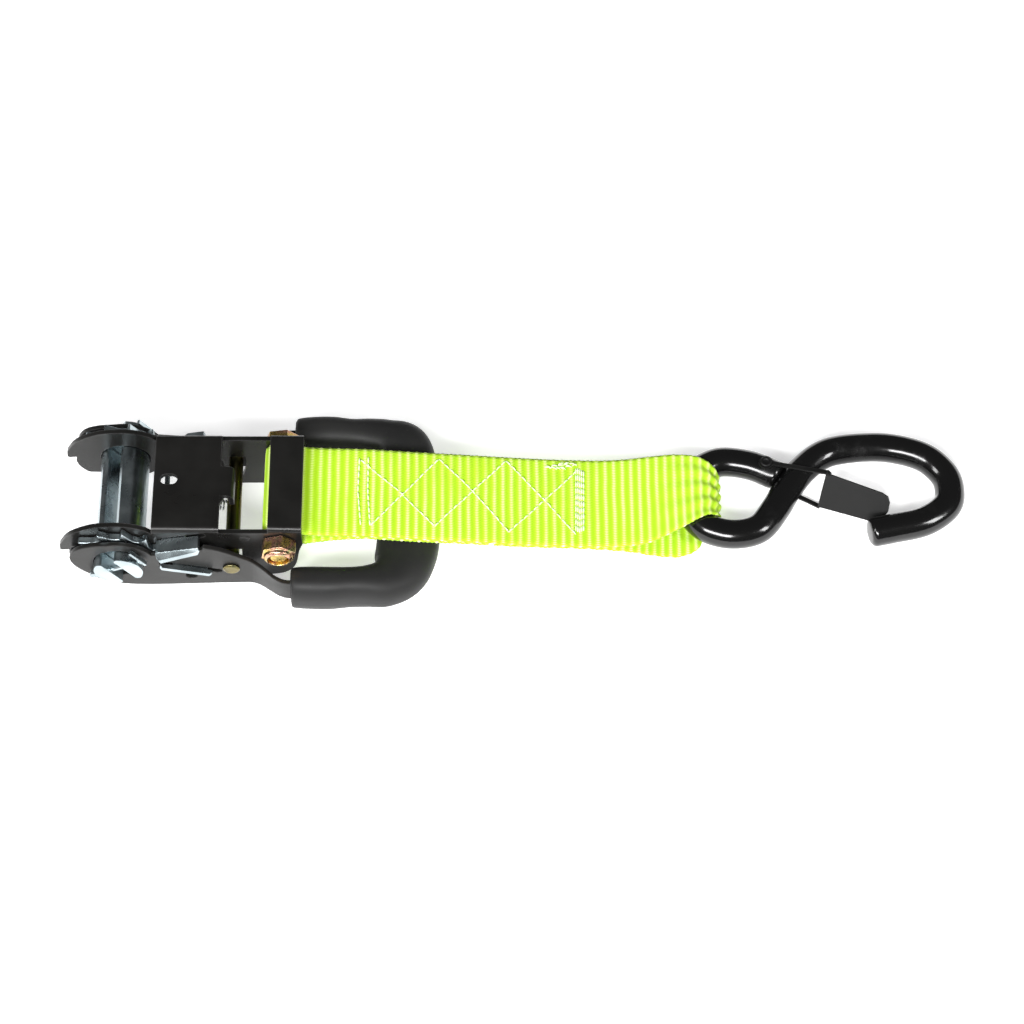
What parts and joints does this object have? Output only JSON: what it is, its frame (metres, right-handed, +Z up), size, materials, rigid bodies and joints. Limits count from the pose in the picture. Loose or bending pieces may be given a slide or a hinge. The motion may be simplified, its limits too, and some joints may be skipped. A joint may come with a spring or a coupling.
{
  "type": "ratchet strap",
  "caption": "Cam-handle ratchet tensioner with a short sewn webbing end and a vinyl-coated S hook with a sprung keeper, lying flat.",
  "frame": {"origin": "middle of the whole strap's length and width, on the surface it lies on", "axes": "+X from the ratchet towards the hook, +Y across the strap, +Z up through the frame's web"},
  "size_m": [0.3734, 0.0854, 0.0419],
  "materials": {
    "black_coat": "semi-gloss black coat",
    "handle_coat": "satin black coat",
    "zinc": "bright zinc plate",
    "yellow_zinc": "yellow passivated zinc",
    "spring_steel": "bright spring wire",
    "grip_rubber": "matt moulded grip",
    "webbing": "woven polyester, high-visibility yellow-green",
    "hook_vinyl": "dipped vinyl, gloss",
    "latch_coat": "satin black"
  },
  "bodies": {
    "base": {"base_frame": "black_coat", "anchor_bolt": "yellow_zinc", "anchor_nut": "yellow_zinc", "anchor_sleeve": "spring_steel", "webbing": "webbing", "lock_pawl_spring": "spring_steel"},
    "lock_pawl": {"lock_pawl": "zinc"},
    "mandrel": {"mandrel_bar_upper": "zinc", "mandrel_bar_lower": "zinc", "ratchet_wheel_near": "zinc", "ratchet_wheel_far": "zinc", "cotter_pin_near": "zinc", "cotter_pin_far": "zinc"},
    "handle": {"handle_arm_near": "handle_coat", "handle_arm_far": "handle_coat", "cross_rod": "yellow_zinc", "handle_grip": "grip_rubber", "drive_pawl_spring": "spring_steel"},
    "drive_pawl": {"drive_pawl": "zinc"},
    "hook": {"hook_body": "hook_vinyl", "keeper_pin": "latch_coat"},
    "keeper": {"keeper": "latch_coat"}
  },
  "joints": [
    {"name": "handle_hinge", "type": "hinge", "parent": "base", "child": "handle", "pos_m": [-0.16271, 0, 0.0215], "axis": [0, 1, 0], "range_deg": [0, 165]},
    {"name": "mandrel_spin", "type": "hinge", "parent": "base", "child": "mandrel", "pos_m": [-0.16271, 0, 0.0215], "axis": [0, 1, 0], "continuous": true},
    {"name": "lock_pawl_slide", "type": "slide", "parent": "base", "child": "lock_pawl", "axis": [0.9711, 0, 0.2385], "range_m": [0, 0.0066], "deforming": ["lock_pawl_spring"]},
    {"name": "drive_pawl_slide", "type": "slide", "parent": "handle", "child": "drive_pawl", "axis": [0.9603, 0, -0.279], "range_m": [-0.0049, 0.0015], "stiffness_N_per_m": 250, "deforming": ["drive_pawl_spring"]},
    {"name": "hook_pivot", "type": "hinge", "parent": "base", "child": "hook", "pos_m": [0.07049, 0.0081, 0.0091], "axis": [0, 1, 0], "range_deg": [-15, 4]},
    {"name": "keeper_hinge", "type": "hinge", "parent": "hook", "child": "keeper", "pos_m": [0.10283, 0.02161, 0.00836], "axis": [0.0227, 0.0004, 0.9997], "range_deg": [0, 15], "stiffness_Nm_per_rad": 0.02}
  ],
  "couplings": [
    {"joint": "lock_pawl_slide", "follows": "handle_hinge", "m_per_rad": 0.002257}
  ]
}
